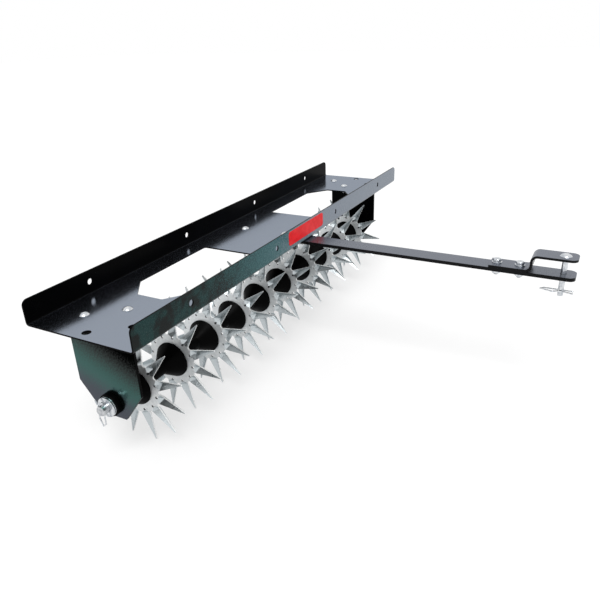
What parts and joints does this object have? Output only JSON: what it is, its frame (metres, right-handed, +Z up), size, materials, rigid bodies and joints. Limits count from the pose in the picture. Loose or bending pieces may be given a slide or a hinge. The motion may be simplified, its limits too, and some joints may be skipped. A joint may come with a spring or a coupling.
{
  "type": "tow behind aerator",
  "caption": "Tow-behind lawn spike aerator: a black folded weight tray over an axle of freely turning spiked steel stars and plastic spacers, with a flat drawbar and clevis hitch.",
  "frame": {"origin": "on the ground under the middle of the overall length and width", "axes": "+X along the axle to the right-hand end, +Y to the rear (the drawbar points to -Y), +Z up"},
  "size_m": [1.016, 0.697, 0.2675],
  "materials": {
    "black_enamel": "glossy baked enamel with a fine orange-peel",
    "black_plastic": "semi-gloss moulded plastic",
    "galvanised_steel": "bright galvanised sheet, satin",
    "bright_steel": "drawn bar, satin",
    "zinc_plate": "bright zinc plating",
    "red_label": "gloss red plate"
  },
  "bodies": {
    "frame": {"weight_tray": "black_enamel", "left_end_plate": "black_enamel", "right_end_plate": "black_enamel", "left_axle_bush": "black_plastic", "right_axle_bush": "black_plastic", "end_plate_bolts_left": "zinc_plate", "end_plate_bolts_right": "zinc_plate", "end_plate_nuts_left": "zinc_plate", "end_plate_nuts_right": "zinc_plate", "drawbar": "black_enamel", "drawbar_bolts": "zinc_plate", "drawbar_nuts": "zinc_plate", "hitch_strap": "black_enamel", "hitch_bolts": "zinc_plate", "hitch_flat_washers": "zinc_plate", "hitch_lock_washers": "zinc_plate", "hitch_nuts": "zinc_plate", "front_label_plate": "red_label"},
    "axle_set": {"axle": "bright_steel", "axle_washers_left": "zinc_plate", "axle_washers_right": "zinc_plate", "spacer_01": "black_plastic", "spacer_02": "black_plastic", "spacer_03": "black_plastic", "spacer_04": "black_plastic", "spacer_05": "black_plastic", "spacer_06": "black_plastic", "spacer_07": "black_plastic", "spacer_08": "black_plastic", "spacer_09": "black_plastic", "spacer_10": "black_plastic", "spacer_11": "black_plastic"},
    "star_01": {"tine_star_01": "galvanised_steel"},
    "star_02": {"tine_star_02": "galvanised_steel"},
    "star_03": {"tine_star_03": "galvanised_steel"},
    "star_04": {"tine_star_04": "galvanised_steel"},
    "star_05": {"tine_star_05": "galvanised_steel"},
    "star_06": {"tine_star_06": "galvanised_steel"},
    "star_07": {"tine_star_07": "galvanised_steel"},
    "star_08": {"tine_star_08": "galvanised_steel"},
    "star_09": {"tine_star_09": "galvanised_steel"},
    "star_10": {"tine_star_10": "galvanised_steel"},
    "hitch_pin_body": {"hitch_pin": "zinc_plate"},
    "hitch_clip_body": {"hitch_pin_clip": "zinc_plate"},
    "axle_clip_left_body": {"axle_clip_left": "zinc_plate"},
    "axle_clip_right_body": {"axle_clip_right": "zinc_plate"}
  },
  "joints": [
    {"name": "axle_turn", "type": "hinge", "parent": "frame", "child": "axle_set", "pos_m": [0, 0.2455, 0.0985], "axis": [1, 0, 0], "continuous": true},
    {"name": "star_01_spin", "type": "hinge", "parent": "axle_set", "child": "star_01", "pos_m": [-0.4176, 0.2455, 0.0985], "axis": [1, 0, 0], "continuous": true},
    {"name": "star_02_spin", "type": "hinge", "parent": "axle_set", "child": "star_02", "pos_m": [-0.3248, 0.2455, 0.0985], "axis": [1, 0, 0], "continuous": true},
    {"name": "star_03_spin", "type": "hinge", "parent": "axle_set", "child": "star_03", "pos_m": [-0.232, 0.2455, 0.0985], "axis": [1, 0, 0], "continuous": true},
    {"name": "star_04_spin", "type": "hinge", "parent": "axle_set", "child": "star_04", "pos_m": [-0.1392, 0.2455, 0.0985], "axis": [1, 0, 0], "continuous": true},
    {"name": "star_05_spin", "type": "hinge", "parent": "axle_set", "child": "star_05", "pos_m": [-0.0464, 0.2455, 0.0985], "axis": [1, 0, 0], "continuous": true},
    {"name": "star_06_spin", "type": "hinge", "parent": "axle_set", "child": "star_06", "pos_m": [0.0464, 0.2455, 0.0985], "axis": [1, 0, 0], "continuous": true},
    {"name": "star_07_spin", "type": "hinge", "parent": "axle_set", "child": "star_07", "pos_m": [0.1392, 0.2455, 0.0985], "axis": [1, 0, 0], "continuous": true},
    {"name": "star_08_spin", "type": "hinge", "parent": "axle_set", "child": "star_08", "pos_m": [0.232, 0.2455, 0.0985], "axis": [1, 0, 0], "continuous": true},
    {"name": "star_09_spin", "type": "hinge", "parent": "axle_set", "child": "star_09", "pos_m": [0.3248, 0.2455, 0.0985], "axis": [1, 0, 0], "continuous": true},
    {"name": "star_10_spin", "type": "hinge", "parent": "axle_set", "child": "star_10", "pos_m": [0.4176, 0.2455, 0.0985], "axis": [1, 0, 0], "continuous": true},
    {"name": "hitch_pin_lift", "type": "slide", "parent": "frame", "child": "hitch_pin_body", "axis": [0, 0, 1], "range_m": [0, 0.022]},
    {"name": "hitch_clip_pull", "type": "slide", "parent": "hitch_pin_body", "child": "hitch_clip_body", "axis": [0, 1, 0], "range_m": [0, 0.028]},
    {"name": "axle_clip_left_pull", "type": "slide", "parent": "axle_set", "child": "axle_clip_left_body", "axis": [0, 0, -1], "range_m": [0, 0.03]},
    {"name": "axle_clip_right_pull", "type": "slide", "parent": "axle_set", "child": "axle_clip_right_body", "axis": [0, 0, -1], "range_m": [0, 0.03]}
  ]
}
